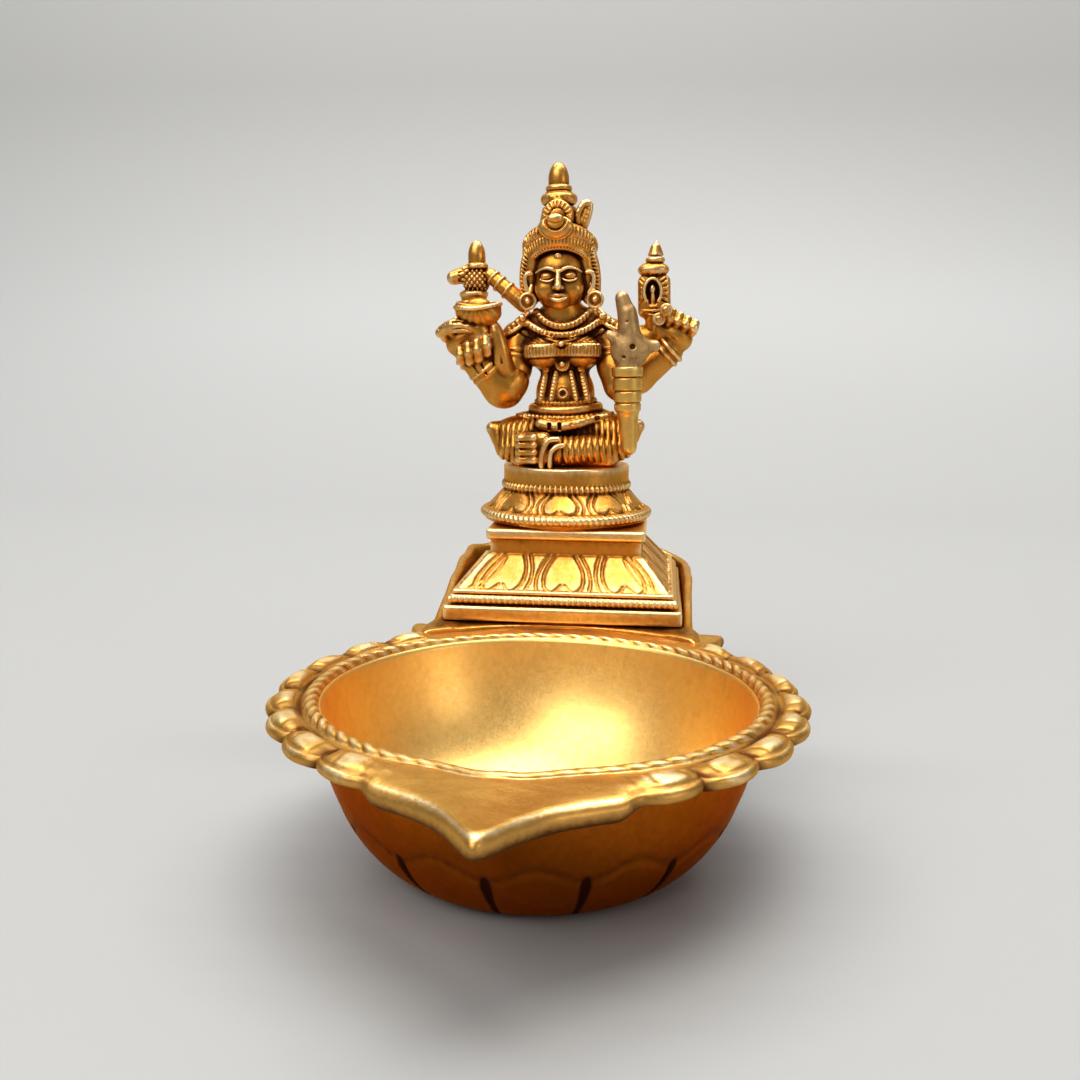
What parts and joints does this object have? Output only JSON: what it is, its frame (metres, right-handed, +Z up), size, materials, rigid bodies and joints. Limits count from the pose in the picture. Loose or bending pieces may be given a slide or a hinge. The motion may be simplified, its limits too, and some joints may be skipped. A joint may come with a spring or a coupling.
{
  "type": "diya oil lamp",
  "caption": "Cast brass oil lamp: scalloped pouring bowl with a pinched spout, a stepped lotus pedestal on its rear tongue and a seated multi-armed figure.",
  "frame": {"origin": "centre of the bowl's flat foot, on the surface the lamp stands on", "axes": "+Z up; the spout points to -Y and the pedestal stands on +Y; -X is the seated figure's own right"},
  "size_m": [0.0802, 0.1465, 0.111],
  "materials": {
    "satin_brass": "satin cast brass, brushed bright inside the bowl, darker in the recesses",
    "antique_brass": "cast brass with brown patina in the recesses and worn bright edges",
    "pale_brass": "dull greyish tan brass",
    "plated_steel": "zinc-plated steel"
  },
  "bodies": {
    "root": {"bowl": "satin_brass", "rear_foot": "satin_brass", "fixing_bolt": "plated_steel", "spring_washer": "plated_steel", "plinth": "antique_brass", "lotus_seat": "antique_brass", "figure_body": "antique_brass", "head": "antique_brass", "crown": "antique_brass", "earrings": "antique_brass", "rear_arm_right": "antique_brass", "rear_arm_left": "antique_brass", "emblem_right": "antique_brass", "emblem_left": "antique_brass", "forearm_right": "antique_brass", "forearm_left": "pale_brass", "offering_dish": "antique_brass"}
  },
  "joints": []
}
